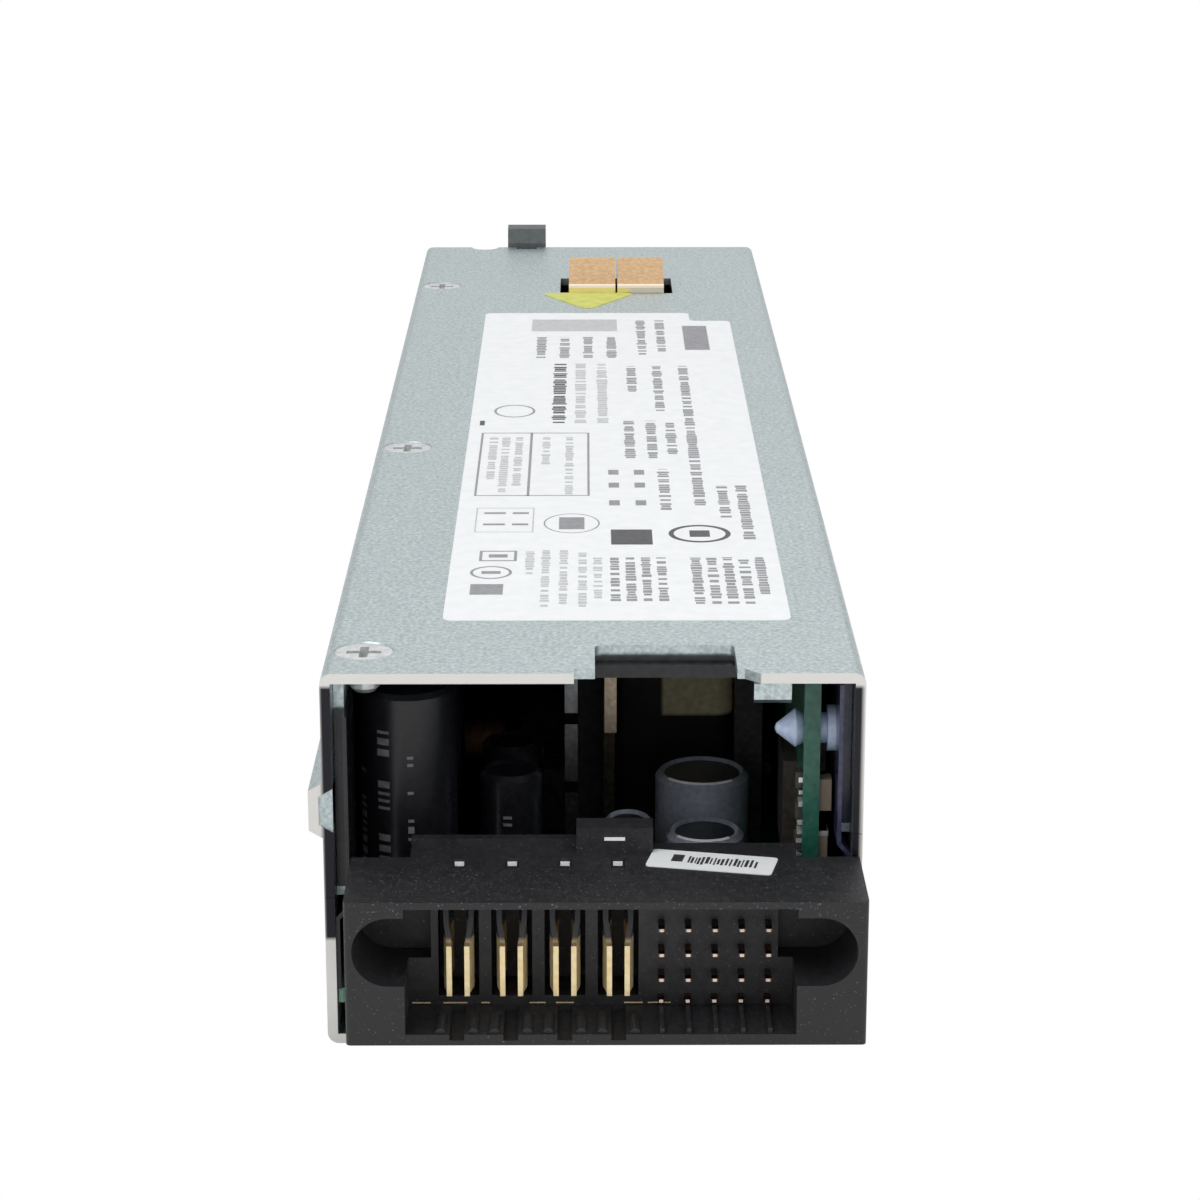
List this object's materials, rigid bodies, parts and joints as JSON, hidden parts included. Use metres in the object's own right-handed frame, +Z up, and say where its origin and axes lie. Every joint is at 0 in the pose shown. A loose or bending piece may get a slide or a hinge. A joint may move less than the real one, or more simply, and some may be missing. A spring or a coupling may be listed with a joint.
{
  "type": "hot swap server power supply",
  "caption": "Slim sheet-metal hot swap power supply with blind-mate connector, keyed rail, fan, spring latch and wire bail",
  "frame": {"origin": "bottom centre of the bounding box, on the underside of the tray", "axes": "+Y along the supply from the connector to the mains inlet, +X to the right seen from the connector end, +Z up"},
  "size_m": [0.0534, 0.2482, 0.0418],
  "materials": {
    "galvanised_steel": "dull zinc-coated sheet with a fine grain",
    "screw_steel": "bright zinc plate",
    "connector_black": "glass-filled moulding, fine speckle",
    "contact_gold": "gold flash over copper alloy",
    "pin_metal": "plated pins",
    "board_green": "solder mask over glass laminate",
    "film_black": "insulating film",
    "film_violet": "insulating film",
    "nylon_blue": "translucent nylon",
    "cap_sleeve": "shrink sleeve",
    "cap_can": "lacquered aluminium can",
    "chip_black": "surface-mount bodies",
    "heatsink": "extruded, satin",
    "copper": "bare copper",
    "package_black": "epoxy packages",
    "black_moulding": "moulded, fine texture",
    "ferrite": "ground ferrite",
    "tape_yellow": "winding tape",
    "coil_copper": "enamelled windings",
    "relay_case": "moulded case",
    "film_box": "potted box",
    "fuse_body": "ceramic cartridge fuse",
    "fan_plastic": "fan moulding",
    "inlet_black": "moulded inlet",
    "led_lens": "clear green lens",
    "latch_black": "moulded lever",
    "bail_black": "powder-coated wire",
    "finger_copper": "copper-alloy spring strip"
  },
  "bodies": {
    "case": {"chassis_tray": "galvanised_steel", "top_cover": "galvanised_steel", "cover_screws": "screw_steel", "rear_panel": "galvanised_steel", "rear_panel_screws": "screw_steel", "status_led": "led_lens", "main_board": "board_green", "board_screws": "screw_steel", "control_board": "board_green", "board_rivet": "nylon_blue", "control_board_chips": "chip_black", "insulator_left": "film_black", "insulator_right": "film_violet", "connector_housing": "connector_black", "power_contacts": "contact_gold", "signal_pins": "pin_metal", "output_capacitors": "cap_sleeve", "timing_capacitors": "cap_sleeve", "filter_capacitors": "cap_can", "secondary_heatsink": "heatsink", "rectifiers": "package_black", "bus_bar": "copper", "notch_baffle": "black_moulding", "spring_clip": "galvanised_steel", "transformer_core": "ferrite", "transformer_winding": "tape_yellow", "output_choke": "coil_copper", "primary_heatsink": "heatsink", "power_transistors": "package_black", "pfc_choke": "coil_copper", "bulk_capacitor": "cap_sleeve", "relay": "relay_case", "film_capacitor": "film_box", "fuse": "fuse_body", "emi_choke": "coil_copper", "emi_capacitor": "film_box", "fan_frame": "fan_plastic", "fan_stator": "copper", "fan_bracket": "galvanised_steel", "fan_screws": "screw_steel", "inlet_socket": "inlet_black", "inlet_pins": "pin_metal", "latch_bracket": "galvanised_steel", "bracket_rivets": "screw_steel", "latch_pin": "screw_steel", "latch_spring": "screw_steel", "grounding_spring": "finger_copper"},
    "fan_rotor": {"fan_rotor": "fan_plastic"},
    "latch": {"latch_lever": "latch_black"},
    "bail": {"bail_handle": "bail_black"}
  },
  "joints": [
    {"name": "fan_spin", "type": "hinge", "parent": "case", "child": "fan_rotor", "pos_m": [-0.00513, 0.0521, 0.019], "axis": [0, 1, 0], "continuous": true},
    {"name": "latch_press", "type": "hinge", "parent": "case", "child": "latch", "pos_m": [-0.00932, 0.0981, 0.033], "axis": [-1, 0, 0], "range_deg": [0, 15], "stiffness_Nm_per_rad": 0.079, "springref_deg": -13.41, "deforming": ["latch_spring"]},
    {"name": "bail_swing", "type": "hinge", "parent": "case", "child": "bail", "pos_m": [-0.01112, 0.115, 0.031], "axis": [1, 0, 0], "range_deg": [0, 100]}
  ]
}
